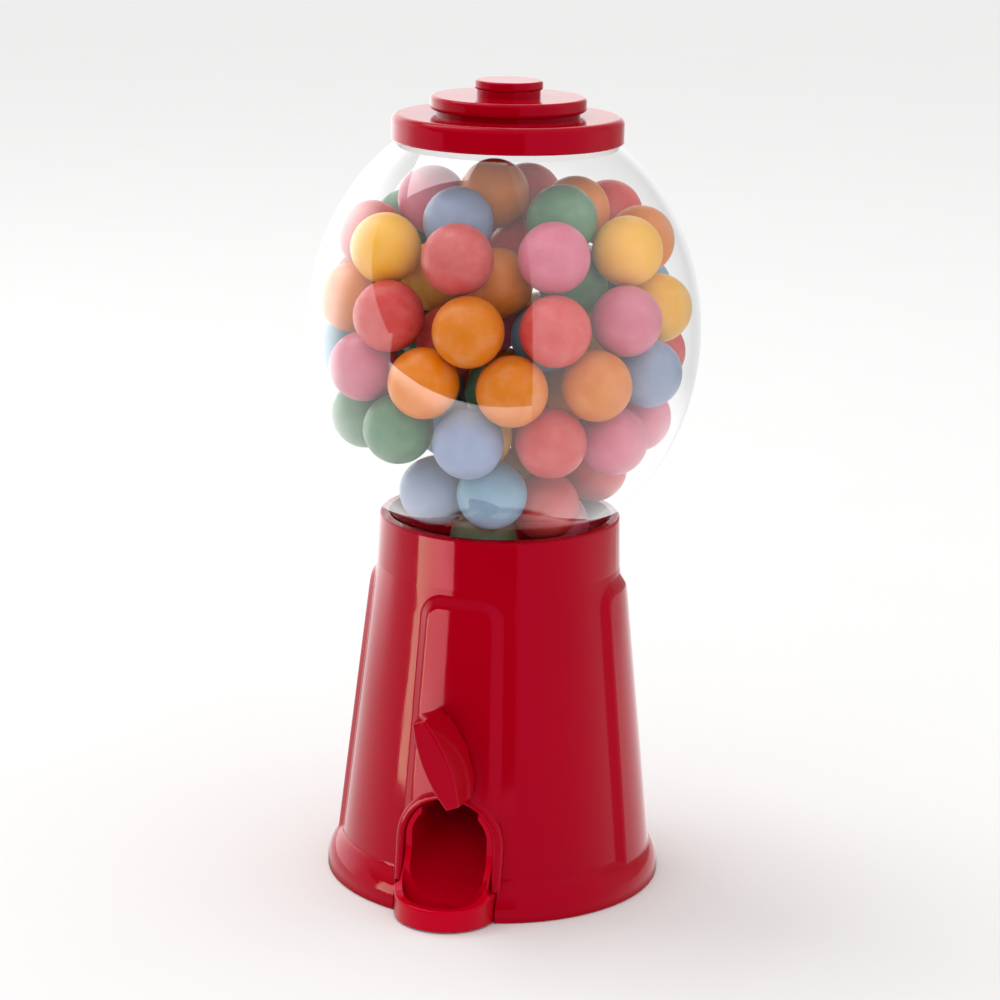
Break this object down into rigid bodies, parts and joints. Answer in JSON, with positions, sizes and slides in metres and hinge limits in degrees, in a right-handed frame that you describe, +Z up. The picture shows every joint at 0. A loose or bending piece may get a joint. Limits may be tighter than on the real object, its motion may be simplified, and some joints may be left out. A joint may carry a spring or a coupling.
{
  "type": "gumball machine",
  "caption": "Small plastic gumball machine: red moulded base with turning knob and tray, clear egg-shaped globe full of gumballs, stepped lift-off lid.",
  "frame": {"origin": "on the axis of the globe, level with the underside of the base", "axes": "+Z up, -Y towards the front, where the knob and the tray are"},
  "size_m": [0.0734, 0.0754, 0.152],
  "materials": {
    "red_plastic": "high-gloss moulded polystyrene",
    "white_plastic": "plain moulded polypropylene",
    "zinc_steel": "zinc-plated",
    "clear_globe": "clear moulded polystyrene, polished",
    "candy_orange": "satin sugar shell",
    "candy_yellow": "satin sugar shell",
    "candy_coral": "satin sugar shell",
    "candy_pink": "satin sugar shell",
    "candy_green": "satin sugar shell",
    "candy_lavender": "satin sugar shell",
    "candy_blue": "satin sugar shell"
  },
  "bodies": {
    "base": {"base_shell": "red_plastic", "base_plate": "red_plastic", "base_screws": "zinc_steel", "tray_screw": "zinc_steel", "delivery_tray": "red_plastic", "wheel_housing": "red_plastic", "housing_cover": "red_plastic", "cover_screws": "zinc_steel", "hopper": "red_plastic", "globe": "clear_globe", "gumballs_orange": "candy_orange", "gumballs_yellow": "candy_yellow", "gumballs_coral": "candy_coral", "gumballs_pink": "candy_pink", "gumballs_green": "candy_green", "gumballs_lavender": "candy_lavender", "gumballs_blue": "candy_blue"},
    "knob": {"knob": "red_plastic", "knob_shaft": "white_plastic", "dispensing_wheel": "red_plastic", "shaft_washer": "zinc_steel", "shaft_screw": "zinc_steel"},
    "lid": {"lid_cap": "red_plastic", "lid_crown": "red_plastic", "lid_button": "red_plastic"}
  },
  "joints": [
    {"name": "knob_turn", "type": "hinge", "parent": "base", "child": "knob", "pos_m": [0, 0, 0.0316], "axis": [0, 1, 0], "continuous": true},
    {"name": "lid_lift", "type": "slide", "parent": "base", "child": "lid", "axis": [0, 0, 1], "range_m": [0, 0.03]}
  ]
}
